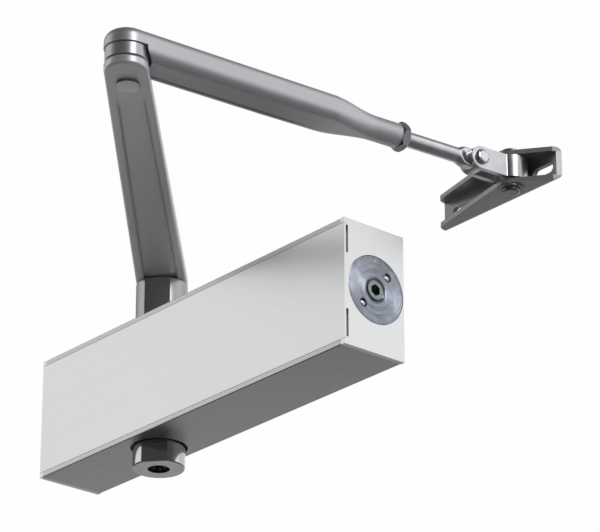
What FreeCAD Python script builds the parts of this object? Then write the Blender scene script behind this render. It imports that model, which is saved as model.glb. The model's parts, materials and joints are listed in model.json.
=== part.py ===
"""Overhead hydraulic door closer with a regular two-piece arm, in millimetres.

The origin is the middle of the body's flat back face, which goes against the door.
X runs along the body towards the spring end, Y points into the door and Z is up.
The arms are drawn along X from their own pivots and then turned into place.
"""
import FreeCAD, Part
import math
import os
from FreeCAD import Placement, Rotation, Vector

# Body
body_length = 228.0
body_depth = 36.0
lip_thickness = 2.6  # top and bottom walls whose front edges frame the front plate
front_plate_thickness = 1.0
front_plate_seam = 0.2
end_plate_thickness = 2.5
slit_width = 1.3  # gap between front plate and end plate, above and below the middle tongue
slit_start = 13.8  # height of a slit's inner end above the middle
slit_margin = 1.0  # from a slit's outer end to the lip
body_edge_radius = 0.6

# Cylinder bore, end plugs and fixing holes
flange_back_wall = 0.7  # from a plug's flange to the back face
flange_front_wall = 2.3  # from a plug's flange to the front plate's face
flange_step = 1.5  # from a plug's thread out to its flange
thread_step = 1.0  # from the bore out to a plug's thread
plug_flange_thickness = 1.2
plug_thread_length = 12.0
plug_nose_length = 6.5
spanner_hole_radius = 2.15
spanner_hole_depth = 4.6
spanner_circle_radius = 10.9
spanner_angle = 47.5
ball_recess = 0.15
fixing_inset = 26.0  # from the body's end
fixing_wall = 0.95  # between a fixing hole and the oil channel it passes
fixing_radius = 2.75
fixing_head_radius = 4.5
fixing_head_wall = 0.1  # from a screw head's room to the lip
fixing_head_depth = 5.0
stud_inset = 54.0
stud_radius = 2.0
stud_length = 5.5
stud_socket_radius = 4.0
stud_socket_length = 6.0
stud_socket_wall = 2.4  # from a stud's socket to the lip

# Fits
fit_gap = 0.03  # between pieces that are pressed or screwed together
running_gap = 0.05  # radial clearance of a shaft or a sliding piece
face_gap = 0.3  # between end faces that pass each other

# Spindle
spindle_inset = 71.0  # from the end without the spring
swing_angle = 170.0
gear_module = 1.5
pinion_teeth = 10
pinion_half_width = 12.5
pinion_addendum = 1.3
pinion_dedendum = 1.2
rack_addendum = 0.85
rack_dedendum = 1.6
gear_backlash = 0.15
pressure_angle = 20.0
journal_radius = 7.0
square_size = 9.8
square_length = 7.0
spindle_thread_radius = 4.0
spindle_thread_depth = 17.0
bearing_radius = 10.0
bearing_length = 7.6
cap_radius = 13.0
cap_thickness = 5.0
cap_notch_width = 3.0
seal_radius = 9.6
seal_thickness = 2.4
opening_radius = 13.9
opening_depth = 3.0

# Bosses on the spindle's two square ends
boss_radius = 12.7
boss_flat_offset = 11.0  # from the axis to the flat on the boss's front
boss_flat_angle = -50.0
boss_entry = 2.4  # how far a boss reaches into the body's opening
lower_boss_drop = 10.8
lower_boss_hole_radius = 5.4
boss_chamfer = 0.5

# Piston and spring
piston_head_length = 13.0
window_margin = 1.5
piston_ring_width = 2.2
piston_ring_depth = 1.6
check_ball_radius = 2.5
check_seat_radius = 1.5
check_seat_depth = 5.0
check_ball_lift = 1.2
check_height = 7.5
spring_wire_radius = 1.8
spring_gap = 0.9  # between the coil and the bore
spring_turns = 12
seat_thickness = 9.0
seat_spigot_gap = 0.7  # between the seat's spigot and the coil
seat_spigot_length = 5.0
seat_travel = 6.0
power_screw_radius = 4.0
power_neck_radius = 5.0
power_flange_radius = 7.0
power_flange_thickness = 3.0
power_screw_reach = 31.0  # threaded length behind the flange
power_socket_size = 5.0
power_socket_depth = 6.0
ring_section = 2.2  # axial room of an O-ring

# Valves in the end without the spring
valve_rise = 2.5  # from the plug's flange up to a valve's axis
valve_radius = 3.0
valve_key_radius = 1.8  # the end plate's hole for the key
valve_length = 9.0
valve_tip_length = 3.0
valve_socket_size = 2.5
channel_radius = 1.1
chamber_port_inset = 20.5  # from the block's end to the port into the end chamber
closing_port_inset = 45.5
latching_port_inset = 33.5

# Main arm
arm_rise = 23.2  # from the body's top to the arm's underside
main_arm_length = 228.0
main_arm_angle = -42.25
arm_hub_radius = 12.6
arm_knuckle_radius = 9.7
arm_thickness = 4.5
arm_hub_thickness = 7.0
arm_edge_radius = 1.2
tenon_size = 12.0
tenon_length = 6.0
panel_depth = 1.2  # shallow panel in the arm's underside
panel_hub_radius = 8.2
panel_knuckle_radius = 6.0
panel_start = 9.0
panel_end_inset = 27.0  # from the elbow axis to the panel's end
lug_inset = 4.6  # from the elbow axis to the steep end of the lug pressed out of the underside
lug_length = 14.0
lug_width = 9.8
lug_height = 1.4
arm_screw_radius = 3.95
arm_screw_engagement = 14.0
arm_screw_head_size = 13.0
arm_screw_head_height = 5.3
arm_washer_radius = 9.0
arm_washer_thickness = 1.6

# Elbow
elbow_pin_radius = 4.0
elbow_pin_seat_depth = 3.0
elbow_pin_head_radius = 4.8
elbow_pin_head_height = 0.6
elbow_washer_thickness = 0.3
elbow_washer_radius = 8.5
elbow_spacer_radius = 9.4
elbow_spacer_height = 6.0
ear_thickness = 6.4
ear_radius = 9.9
elbow_cut_radius = 11.0

# Forearm, adjusting rod and lock nut
forearm_angle = 84.8
forearm_height = 12.4
forearm_corner = 4.0
ear_rise = 1.3  # how much taller the forearm stands at the elbow than along its length
ear_corner = 4.6
forearm_length = 145.0
forearm_socket_length = 13.0
forearm_taper_length = 28.0
forearm_round_radius = 5.7
lip_offset = 5.4  # from the forearm's middle to the step of the lip along its far lower edge
lip_drop = 0.3
lip_run_out = 26.0  # length over which the lip fades, up to where the taper starts
rod_radius = 3.6
rod_bore_start = 46.0
rod_start = 70.0
nut_length = 4.1
nut_size = 12.0
nut_turn = 25.0
flare_start = 178.5
flare_length = 5.0
rivet_distance = 190.3
eye_radius = 5.4
eye_thickness = 5.0
rivet_radius = 2.5
rivet_head_radius = 3.7
rivet_head_height = 1.9

# Stirrup and shoe
shoe_pin_distance = 211.2
strap_thickness = 2.5
strap_height = 11.0
strap_gap = 0.1
strap_bend_radius = 1.2
loop_radius = 8.0
shoe_thickness = 2.3
shoe_height = 16.5
shoe_back = 11.2  # from the pin's axis to the shoe's flat back
shoe_left = 55.0
shoe_left_depth = 6.7
shoe_left_slant = 1.6
shoe_left_corner = 2.6
shoe_right = 22.5
shoe_right_depth = 3.9
shoe_right_slant = 2.3
shoe_right_corner = 1.2
shoe_bulge_radius = 6.5
shoe_slot_left = -42.5
shoe_slot_right = 12.4
shoe_slot_length = 13.0
shoe_slot_radius = 2.4
shoe_slot_drop = 1.0  # below the middle of the shoe's height
shoe_pin_radius = 3.5
shoe_pin_head_radius = 4.3
shoe_pin_head_height = 1.7
shoe_washer_radius = 6.2
shoe_washer_thickness = 0.8
shoe_bend_radius = 2.8

# Places that follow from the sizes above
half_length = body_length / 2
block_end = half_length - end_plate_thickness
block_front = front_plate_thickness - body_depth
plug_flange_radius = (body_depth - flange_back_wall - flange_front_wall) / 2
plug_thread_radius = plug_flange_radius - flange_step
bore_radius = plug_thread_radius - thread_step
axis_y = -flange_back_wall - plug_flange_radius
valve_height = plug_flange_radius + valve_rise
fixing_x = half_length - fixing_inset
fixing_z = valve_height + channel_radius + fixing_wall + fixing_radius
lip_edge = fixing_z + fixing_head_radius + fixing_head_wall
half_height = lip_edge + lip_thickness
stud_x = half_length - stud_inset
stud_z = lip_edge - stud_socket_wall - stud_socket_radius
spindle_x = spindle_inset - half_length
margin = 1.0  # how far a cutting tool runs past the solid it cuts

plug_thread_start = block_end - plug_thread_length
plug_nose = plug_thread_start - plug_nose_length

opening_floor = half_height - opening_depth
cap_floor = opening_floor - cap_thickness
boss_inner = half_height - boss_entry
square_end = boss_inner + square_length

pitch_radius = gear_module * pinion_teeth / 2
pinion_tip = pitch_radius + pinion_addendum
rack_pitch = math.pi * gear_module
piston_travel = pitch_radius * math.radians(swing_angle)
window_right = spindle_x + pinion_tip + window_margin
window_left = spindle_x - pinion_tip - window_margin - piston_travel
piston_left = window_left - piston_head_length
piston_right = window_right + piston_head_length
spring_coil_radius = bore_radius - spring_gap - spring_wire_radius
seat_spigot_radius = spring_coil_radius - spring_wire_radius - seat_spigot_gap
screw_flange_left = plug_nose - power_flange_thickness
seat_right = screw_flange_left - face_gap - seat_travel
seat_left = seat_right - seat_thickness

arm_underside = half_height + arm_rise
arm_top = arm_underside + arm_thickness
hub_top = arm_underside + arm_hub_thickness
spacer_bottom = arm_top + elbow_washer_thickness
spacer_top = spacer_bottom + elbow_spacer_height
ear_bottom = spacer_top + elbow_washer_thickness
ear_top = ear_bottom + ear_thickness
ear_crown = ear_top + ear_rise
forearm_z = ear_top - forearm_height / 2
forearm_taper_end = forearm_length - forearm_socket_length
forearm_straight_end = forearm_taper_end - forearm_taper_length
elbow_x = spindle_x + main_arm_length * math.cos(math.radians(main_arm_angle))
elbow_y = axis_y + main_arm_length * math.sin(math.radians(main_arm_angle))
shoe_x = elbow_x + shoe_pin_distance * math.cos(math.radians(forearm_angle))
shoe_y = elbow_y + shoe_pin_distance * math.sin(math.radians(forearm_angle))
ear_outer = eye_thickness / 2 + strap_gap + strap_thickness
flange_inner = shoe_height / 2 - shoe_thickness
bush_radius = loop_radius - strap_thickness - running_gap

Z = Vector(0, 0, 1)
X = Vector(1, 0, 0)
Y = Vector(0, 1, 0)


def box(x, y, z):
    """A block between the low and high value on each axis."""
    return Part.makeBox(x[1] - x[0], y[1] - y[0], z[1] - z[0], Vector(x[0], y[0], z[0]))


def post(radius, bottom, top, x=0.0, y=0.0):
    """An upright cylinder."""
    return Part.makeCylinder(radius, top - bottom, Vector(x, y, bottom), Z)


def spindle_post(radius, bottom, top):
    """An upright cylinder on the spindle's axis."""
    return post(radius, bottom, top, spindle_x, axis_y)


def shaft(radius, start, end, y=axis_y, z=0.0):
    """A cylinder along X, on the bore's axis unless another place is given."""
    return Part.makeCylinder(radius, end - start, Vector(start, y, z), X)


def cross_post(radius, start, end, x, z):
    """A cylinder along Y."""
    return Part.makeCylinder(radius, end - start, Vector(x, start, z), Y)


def ring(outer, inner, bottom, top, x=0.0, y=0.0):
    """An upright ring."""
    hole = post(inner, bottom - margin, top + margin, x, y)
    return post(outer, bottom, top, x, y).cut(hole)


def shaft_ring(outer, inner, start, end, y=axis_y, z=0.0):
    """A ring along X."""
    return shaft(outer, start, end, y, z).cut(shaft(inner, start - margin, end + margin, y, z))


def hexagon(size, length, base, direction):
    """A hexagonal prism, size across its flats."""
    corner_radius = size / math.sqrt(3)
    turn = Rotation(Z, direction)
    corners = []
    for k in range(7):
        angle = math.radians(60 * k)
        corner = Vector(corner_radius * math.cos(angle), corner_radius * math.sin(angle), 0)
        corners.append(base + turn.multVec(corner))
    return Part.Face(Part.makePolygon(corners)).extrude(direction * length)


def chamfered_hexagon(size, length, base, direction):
    """A hexagonal prism whose corners are turned off at both ends."""
    corner_radius = size / math.sqrt(3)
    slope = corner_radius - size / 2
    middle = length - 2 * slope
    lower = Part.makeCone(size / 2, corner_radius, slope, base, direction)
    upper_base = base + direction * (slope + middle)
    upper = Part.makeCone(corner_radius, size / 2, slope, upper_base, direction)
    waist = Part.makeCylinder(corner_radius, middle, base + direction * slope, direction)
    turned = waist.fuse([lower, upper])
    return hexagon(size, length, base, direction).common(turned)


def square_post(size, bottom, top):
    """An upright square bar about the spindle's axis, in line with the bosses' flats."""
    bar = box((-size / 2, size / 2), (-size / 2, size / 2), (bottom, top))
    bar.Placement = Placement(Vector(spindle_x, axis_y, 0), Rotation(Z, boss_flat_angle))
    return bar


def prism(points, bottom, top):
    """An upright prism over a closed outline of (x, y) points."""
    corners = [Vector(x, y, bottom) for x, y in points]
    return Part.Face(Part.makePolygon(corners + corners[:1])).extrude(Vector(0, 0, top - bottom))


def tapered_bar(start_radius, end_radius, length, bottom, top, start=0.0):
    """A flat bar along X with round ends of two radii, joined by tangent sides."""
    lean = math.acos((start_radius - end_radius) / length)
    across = Vector(math.cos(lean), math.sin(lean), 0)
    mirror = Vector(math.cos(lean), -math.sin(lean), 0)
    near = Vector(start, 0, bottom)
    far = Vector(start + length, 0, bottom)
    side_a = Part.LineSegment(near + across * start_radius, far + across * end_radius)
    tip = Part.Arc(far + across * end_radius, far + X * end_radius, far + mirror * end_radius)
    side_b = Part.LineSegment(far + mirror * end_radius, near + mirror * start_radius)
    tail = Part.Arc(near + mirror * start_radius, near - X * start_radius, near + across * start_radius)
    outline = Part.Wire([edge.toShape() for edge in (side_a, tip, side_b, tail)])
    return Part.Face(outline).extrude(Vector(0, 0, top - bottom))


def edges_at(shape, z, tolerance=0.01):
    """The edges that lie wholly at one height."""
    return [
        edge for edge in shape.Edges
        if abs(edge.BoundBox.ZMin - z) < tolerance and abs(edge.BoundBox.ZMax - z) < tolerance
    ]


def rounded_section(width, height, corner, x, lift=0.0):
    """A rounded rectangle square to X, as four lines and four arcs."""
    half_w = width / 2 - corner
    half_h = height / 2 - corner
    diagonal = corner * math.sqrt(0.5)
    edges = []
    quarters = ((1, 1), (-1, 1), (-1, -1), (1, -1))
    for k, (sy, sz) in enumerate(quarters):
        centre = Vector(x, sy * half_w, sz * half_h + lift)
        on_side = centre + Vector(0, sy * corner, 0)
        on_top = centre + Vector(0, 0, sz * corner)
        first, last = (on_side, on_top) if k % 2 == 0 else (on_top, on_side)
        bulge = centre + Vector(0, sy * diagonal, sz * diagonal)
        edges.append(Part.Arc(first, bulge, last).toShape())
        ny, nz = quarters[(k + 1) % 4]
        next_centre = Vector(x, ny * half_w, nz * half_h + lift)
        offset = Vector(0, 0, sz * corner) if k % 2 == 0 else Vector(0, sy * corner, 0)
        edges.append(Part.LineSegment(last, next_centre + offset).toShape())
    return Part.Wire(edges)


def in_main_arm_place(shape):
    """Move a shape drawn along X from the spindle's axis to the main arm's line."""
    shape.Placement = Placement(Vector(spindle_x, axis_y, 0), Rotation(Z, main_arm_angle))
    return shape


def in_forearm_place(shape):
    """Move a shape drawn along X from the elbow's axis to the forearm's line."""
    shape.Placement = Placement(Vector(elbow_x, elbow_y, forearm_z), Rotation(Z, forearm_angle))
    return shape


def in_shoe_place(shape):
    """Move a shape drawn about the shoe pin's axis to the shoe."""
    shape.Placement = Placement(Vector(shoe_x, shoe_y, forearm_z), Rotation())
    return shape


def pairs(x, z):
    """The four corners of a rectangular pattern."""
    return [(sx * x, sz * z) for sx in (-1, 1) for sz in (-1, 1)]


def save(name, shape):
    """Write one node."""
    if isinstance(shape, list):
        shape = Part.makeCompound(shape)
    shape.exportStep(f"parts/{name}.step")


# Body
def closer_body():
    """The oil-filled block: bore along X, spindle openings, valve channels and fixing holes."""
    block = box((-block_end, block_end), (-body_depth, 0), (-half_height, half_height))
    long_edges = [edge for edge in block.Edges if edge.BoundBox.XLength > body_depth * 2]
    block = block.makeFillet(body_edge_radius, long_edges)
    reach = block_end + margin
    tools = [box((-reach, reach), (-body_depth - margin, block_front), (-lip_edge, lip_edge))]
    tools.append(shaft(bore_radius, -reach, reach))
    thread_hole = plug_thread_radius + fit_gap
    tools.append(shaft(thread_hole, plug_thread_start, reach))
    tools.append(shaft(thread_hole, -reach, -plug_thread_start))
    tools.append(spindle_post(bearing_radius, -cap_floor, cap_floor))
    for side in (-1, 1):
        tools.append(spindle_post(cap_radius, *sorted((side * cap_floor, side * opening_floor))))
        outer = side * (half_height + margin)
        tools.append(spindle_post(opening_radius, *sorted((side * opening_floor, outer))))
    for x, z in pairs(fixing_x, fixing_z):
        tools.append(cross_post(fixing_radius, block_front - margin, margin, x, z))
        head_floor = block_front + fixing_head_depth
        tools.append(cross_post(fixing_head_radius, block_front - margin, head_floor, x, z))
    for x, z in pairs(stud_x, stud_z):
        socket_floor = block_front + stud_socket_length
        tools.append(cross_post(stud_socket_radius + fit_gap, block_front - margin, socket_floor, x, z))
    tools += valve_channels(1, closing_port_inset)
    tools += valve_channels(-1, latching_port_inset)
    return block.cut(tools)


def valve_channels(side, port_inset):
    """A valve's bore and the oil channel behind it, with its two ports into the cylinder."""
    z = side * valve_height
    seat = -block_end + valve_length + valve_tip_length
    tools = [shaft(valve_radius + running_gap, -block_end - margin, seat, z=z)]
    tools.append(shaft(channel_radius, seat - margin, -block_end + port_inset, z=z))
    for inset in (chamber_port_inset, port_inset - channel_radius):
        low, high = sorted((z, side * bore_radius / 2))
        tools.append(post(channel_radius, low, high, -block_end + inset, axis_y))
    return tools


def front_plate():
    """The brushed sheet between the lips, with studs on its back."""
    edge = lip_edge - front_plate_seam
    plate = box((-half_length, half_length), (-body_depth, block_front), (-edge, edge))
    studs = []
    for x, z in pairs(stud_x, stud_z):
        studs.append(cross_post(stud_radius, block_front - margin / 2, block_front + stud_length, x, z))
    return plate.fuse(studs).removeSplitter()


def stud_sockets():
    """Nylon plugs in the block that grip the front plate's studs."""
    sockets = []
    for x, z in pairs(stud_x, stud_z):
        plug = cross_post(stud_socket_radius, block_front, block_front + stud_socket_length, x, z)
        hole = cross_post(stud_radius + fit_gap, block_front - margin, block_front + stud_length, x, z)
        sockets.append(plug.cut(hole))
    return sockets


def end_plate(side):
    """A trim plate on the body's end, clamped by the plug's flange."""
    inner, outer = block_end, half_length
    flange_seat = half_length - plug_flange_thickness
    plate = box((inner, outer), (block_front, 0), (-half_height, half_height))
    for z in (lip_edge, -half_height):
        plate = plate.fuse(box((inner, outer), (-body_depth, 0), (z, z + lip_thickness)))
    plate = plate.removeSplitter()
    tools = [shaft(plug_thread_radius + face_gap / 2, inner - margin, outer + margin)]
    tools.append(shaft(plug_flange_radius + face_gap / 2, flange_seat, outer + margin))
    slit_y = (block_front - margin, block_front + slit_width)
    slit_end = lip_edge - slit_margin
    for low, high in ((slit_start, slit_end), (-slit_end, -slit_start)):
        tools.append(box((inner - margin, outer + margin), slit_y, (low, high)))
    if side < 0:
        for z in (-valve_height, valve_height):
            tools.append(shaft(valve_key_radius, inner - margin, outer + margin, z=z))
    plate = plate.cut(tools)
    if side < 0:
        plate = plate.mirror(Vector(0, 0, 0), X)
    return plate


def plug_blank():
    """A plug turned to its flange, thread and nose, with its O-ring groove and spanner holes."""
    flange_seat = half_length - plug_flange_thickness
    flange = shaft(plug_flange_radius, flange_seat, half_length)
    thread = shaft(plug_thread_radius, plug_thread_start, flange_seat)
    nose = shaft(bore_radius - running_gap, plug_nose, plug_thread_start)
    groove_start = plug_nose + ring_section
    groove_floor = bore_radius - piston_ring_depth
    groove = shaft_ring(bore_radius + margin, groove_floor, groove_start, groove_start + ring_section)
    blank = flange.fuse([thread, nose]).cut(groove)
    rim = [
        edge for edge in blank.Edges
        if edge.BoundBox.XMin > half_length - fit_gap and edge.BoundBox.YLength > plug_flange_radius
    ]
    blank = blank.makeChamfer(boss_chamfer / 2, rim)
    holes = []
    for y, z in spanner_places():
        holes.append(shaft(spanner_hole_radius, half_length - spanner_hole_depth, half_length + margin, y, z))
    return blank.cut(holes)


def spanner_places():
    """The two holes for a pin spanner, either side of the plug's middle."""
    angle = math.radians(spanner_angle)
    across = spanner_circle_radius * math.cos(angle)
    up = spanner_circle_radius * math.sin(angle)
    return [(axis_y + across, up), (axis_y - across, -up)]


def end_plug_right():
    """The spring end's plug, bored for the power screw and grooved for its seal."""
    neck_hole = shaft(power_neck_radius + running_gap, plug_nose - margin, half_length + margin)
    groove_start = plug_thread_start + ring_section
    groove = shaft(power_neck_radius + piston_ring_depth, groove_start, groove_start + ring_section)
    mouth = Part.makeCone(
        power_neck_radius, power_neck_radius + boss_chamfer * 2, boss_chamfer * 2,
        Vector(half_length - boss_chamfer * 2 + fit_gap, axis_y, 0), X)
    return plug_blank().cut([neck_hole, groove, mouth])


def end_plug_left():
    """The plug that closes the other end."""
    return plug_blank().mirror(Vector(0, 0, 0), X)


def plug_seals():
    """The O-rings round the two plugs' noses."""
    start = plug_nose + ring_section + fit_gap
    outer = bore_radius - fit_gap
    inner = bore_radius - piston_ring_depth + fit_gap
    right = shaft_ring(outer, inner, start, start + ring_section - 2 * fit_gap)
    return [right, right.mirror(Vector(0, 0, 0), X)]


def plug_balls():
    """Sealing balls pressed into the right plug's spanner holes."""
    radius = spanner_hole_radius - running_gap
    depth = half_length - ball_recess - radius
    return [Part.makeSphere(radius, Vector(depth, y, z)) for y, z in spanner_places()]


def power_screw_seal():
    """The O-ring round the power screw's neck."""
    start = plug_thread_start + ring_section + fit_gap
    outer = power_neck_radius + piston_ring_depth - fit_gap
    return shaft_ring(outer, power_neck_radius + fit_gap, start, start + ring_section - 2 * fit_gap)


# Power adjustment and spring
def power_screw():
    """The adjusting screw: hexagon socket, neck, flange behind the plug and thread."""
    neck = shaft(power_neck_radius, plug_nose, half_length)
    rim = [edge for edge in neck.Edges if edge.BoundBox.XMin > half_length - fit_gap]
    neck = neck.makeChamfer(boss_chamfer, rim)
    flange = shaft(power_flange_radius, screw_flange_left, plug_nose - fit_gap)
    thread = shaft(power_screw_radius, screw_flange_left - power_screw_reach, screw_flange_left)
    socket_floor = Vector(half_length - power_socket_depth, axis_y, 0)
    socket = hexagon(power_socket_size, power_socket_depth + margin, socket_floor, X)
    link = shaft(power_screw_radius, screw_flange_left, plug_nose + margin)
    return neck.fuse([flange, thread, link]).cut(socket)


def spring_seat():
    """The nut that carries the spring and moves as the power screw turns."""
    disc = shaft(bore_radius - running_gap, seat_left, seat_right)
    spigot = shaft(seat_spigot_radius, seat_left - seat_spigot_length, seat_left)
    hole = shaft(power_screw_radius + running_gap, seat_left - seat_spigot_length - margin, seat_right + margin)
    return disc.fuse(spigot).removeSplitter().cut(hole)


def biarc(start, start_way, end, end_way):
    """Two tangent arcs from one point and direction to another."""
    chord = end - start
    ways = start_way + end_way
    rest = 4 - ways.dot(ways)
    reach = (math.sqrt(chord.dot(ways) ** 2 + rest * chord.dot(chord)) - chord.dot(ways)) / rest
    first_corner = start + start_way * reach
    last_corner = end - end_way * reach
    join = (first_corner + last_corner) * 0.5
    arcs = []
    for low, corner, high in ((start, first_corner, join), (join, last_corner, end)):
        middle = (low + high) * 0.5
        half = (high - low).Length / 2
        rise = corner - middle
        lean = math.atan2(rise.Length, half)
        arcs.append(Part.Arc(low, middle + rise.normalize() * half * math.tan(lean / 2), high).toShape())
    return arcs


def main_spring():
    """One helical tube along the bore, with a straight run of one wire diameter at each end."""
    wire = spring_wire_radius
    tail = 2 * wire
    tail_rise = tail * (seat_left - piston_right) / (2 * math.pi * spring_coil_radius * spring_turns)
    start = piston_right + wire + tail_rise + face_gap / 2
    end = seat_left - wire - tail_rise - face_gap / 2
    steps = spring_turns * 4
    pitch = (end - start) / spring_turns
    rise = pitch / (2 * math.pi * spring_coil_radius)
    points = []
    ways = []
    for k in range(steps + 1):
        angle = math.pi / 2 * k
        across = Vector(0, math.cos(angle), math.sin(angle))
        along = Vector(rise, -math.sin(angle), math.cos(angle))
        place = Vector(start + pitch * k / 4, axis_y, 0)
        points.append(place + across * spring_coil_radius)
        ways.append(along.normalize())
    edges = [Part.LineSegment(points[0] - ways[0] * tail, points[0]).toShape()]
    for k in range(steps):
        edges += biarc(points[k], ways[k], points[k + 1], ways[k + 1])
    edges.append(Part.LineSegment(points[-1], points[-1] + ways[-1] * tail).toShape())
    path = Part.Wire(edges)
    section = Part.Wire(Part.makeCircle(wire, points[0] - ways[0] * tail, ways[0]))
    print(f"spring: least gap between turns {pitch * math.cos(math.atan(rise)) - 2 * wire:.2f} mm")
    return path.makePipeShell([section], True, False)


def piston():
    """The piston: two heads joined by a rack wall and a back wall round the pinion's window."""
    blank = shaft(bore_radius - running_gap, piston_left, piston_right)
    rack_root = axis_y - pitch_radius - rack_dedendum
    back = axis_y + pinion_tip + face_gap
    window = box((window_left, window_right), (rack_root, back), (-bore_radius, bore_radius))
    tools = [window]
    for middle in piston_ring_middles():
        groove = (middle - piston_ring_width / 2, middle + piston_ring_width / 2)
        tools.append(shaft_ring(bore_radius + margin, bore_radius - piston_ring_depth, *groove))
    seat = window_right + check_seat_depth
    tools.append(shaft(check_seat_radius, window_right - margin, seat + margin, z=check_height - bore_radius))
    tools.append(shaft(check_ball_radius + running_gap, seat, piston_right + margin, z=check_height - bore_radius))
    teeth = [tooth.common(blank) for tooth in rack_teeth()]
    return blank.cut(tools).fuse(teeth).removeSplitter()


def piston_ring_middles():
    """Where the seal rings sit, mid way along each head's outer half."""
    inset = piston_head_length / 4
    return (piston_left + inset, piston_right - inset)


def rack_teeth():
    """Rack teeth along the window's front wall, a gap in line with the spindle at rest."""
    slope = math.tan(math.radians(pressure_angle))
    half_pitch = rack_pitch / 4 - gear_backlash / 2
    pitch_line = axis_y - pitch_radius
    tip, root = pitch_line + rack_addendum, pitch_line - rack_dedendum
    half_tip = half_pitch - rack_addendum * slope
    half_root = half_pitch + rack_dedendum * slope
    flank = math.sqrt(bore_radius ** 2 - (pitch_radius + rack_dedendum) ** 2)
    height = min(pinion_half_width, flank) - face_gap
    teeth = []
    first = math.ceil((window_left - spindle_x) / rack_pitch)
    last = math.floor((window_right - spindle_x) / rack_pitch)
    for k in range(first, last):
        middle = spindle_x + (k + 0.5) * rack_pitch
        outline = [
            (middle - half_root, root - margin / 2), (middle - half_root, root), (middle - half_tip, tip),
            (middle + half_tip, tip), (middle + half_root, root), (middle + half_root, root - margin / 2)]
        teeth.append(prism(outline, -height, height))
    return teeth


def piston_rings():
    """The piston's seal rings."""
    inner = bore_radius - piston_ring_depth + fit_gap
    half = piston_ring_width / 2 - fit_gap
    return [
        shaft_ring(bore_radius - fit_gap, inner, middle - half, middle + half)
        for middle in piston_ring_middles()]


def check_ball_centre():
    """The ball touches the rim of its seat."""
    touch = math.sqrt(check_ball_radius ** 2 - check_seat_radius ** 2)
    return Vector(window_right + check_seat_depth + touch + fit_gap, axis_y, check_height - bore_radius)


def check_ball():
    """The check valve's ball, which lets oil pass as the door opens."""
    return Part.makeSphere(check_ball_radius, check_ball_centre())


def check_ring():
    """The ring that keeps the ball in the piston."""
    start = check_ball_centre().x + check_ball_radius + check_ball_lift + fit_gap
    z = check_height - bore_radius
    return shaft_ring(check_ball_radius, check_seat_radius, start, start + check_ball_lift, z=z)


# Spindle group
def pinion_outline():
    """Involute teeth with flat tips, one tooth space between each two."""
    base = pitch_radius * math.cos(math.radians(pressure_angle))
    root = pitch_radius - pinion_dedendum
    tip = pinion_tip
    involute_at_pitch = math.tan(math.radians(pressure_angle)) - math.radians(pressure_angle)
    half_pitch_angle = math.pi / (2 * pinion_teeth) - gear_backlash / (2 * pitch_radius)
    flank_steps = 4
    radii = [base + (tip - base) * k / flank_steps for k in range(flank_steps + 1)]
    flank = []
    for radius in radii:
        roll = math.acos(min(1.0, base / radius))
        flank.append((radius, half_pitch_angle + involute_at_pitch - (math.tan(roll) - roll)))
    flank.insert(0, (root, flank[0][1]))
    points = []
    for k in range(pinion_teeth):
        middle = math.radians(boss_tooth_angle()) + 2 * math.pi * k / pinion_teeth
        for radius, half in flank:
            points.append((radius, middle - half))
        for radius, half in reversed(flank):
            points.append((radius, middle + half))
    return [(spindle_x + r * math.cos(a), axis_y + r * math.sin(a)) for r, a in points]


def boss_tooth_angle():
    """A tooth points at the rack, square to the piston."""
    return -90.0


def pinion_spindle():
    """The steel spindle: pinion teeth, journals and a threaded square end each way."""
    solid = prism(pinion_outline(), -pinion_half_width, pinion_half_width)
    solid = solid.fuse(spindle_post(pitch_radius - pinion_dedendum, -pinion_half_width, pinion_half_width))
    holes = []
    for side in (-1, 1):
        journal = spindle_post(journal_radius, *sorted((side * pinion_half_width, side * boss_inner)))
        low, high = sorted((side * (boss_inner - margin), side * square_end))
        square = square_post(square_size, low, high).common(spindle_post(journal_radius, low, high))
        solid = solid.fuse([journal, square])
        low, high = sorted((side * (square_end - spindle_thread_depth), side * (square_end + margin)))
        holes.append(spindle_post(spindle_thread_radius, low, high))
    return solid.cut(holes).removeSplitter()


def boss_blank(bottom, top):
    """A round boss with a flat on its front, clear of the body's opening."""
    blank = spindle_post(boss_radius, bottom, top)
    rims = edges_at(blank, top) + edges_at(blank, bottom)
    blank = blank.makeChamfer(boss_chamfer, rims)
    reach = boss_radius + margin
    shoulder = half_height + face_gap
    low, high = (shoulder, top) if top > 0 else (bottom, -shoulder)
    chip = box((boss_flat_offset, reach), (-reach, reach), (low, high))
    chip.Placement = Placement(Vector(spindle_x, axis_y, 0), Rotation(Z, boss_flat_angle))
    return blank.cut(chip)


def lower_boss():
    """The free drive end under the body, open to the spindle's thread."""
    bottom = -half_height - lower_boss_drop
    blank = boss_blank(bottom, -boss_inner)
    socket = square_post(square_size + 2 * fit_gap, -square_end - face_gap, -boss_inner + margin)
    return blank.cut([socket, spindle_post(lower_boss_hole_radius, bottom - margin, -square_end)])


def upper_boss():
    """The extension that lifts the arm clear of the body, with a square tenon on top."""
    blank = boss_blank(boss_inner, arm_underside)
    tenon = square_post(tenon_size, arm_underside - margin, arm_underside + tenon_length)
    socket = square_post(square_size + 2 * fit_gap, boss_inner - margin, square_end + face_gap)
    hole = spindle_post(spindle_thread_radius + face_gap, boss_inner, arm_underside + tenon_length + margin)
    return blank.fuse(tenon).cut([socket, hole]).removeSplitter()


def bearing(side):
    """A needle bearing's sleeve between block and journal."""
    low, high = sorted((side * (cap_floor - fit_gap), side * (cap_floor - bearing_length)))
    return ring(bearing_radius - fit_gap, journal_radius + running_gap, low, high, spindle_x, axis_y)


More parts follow.
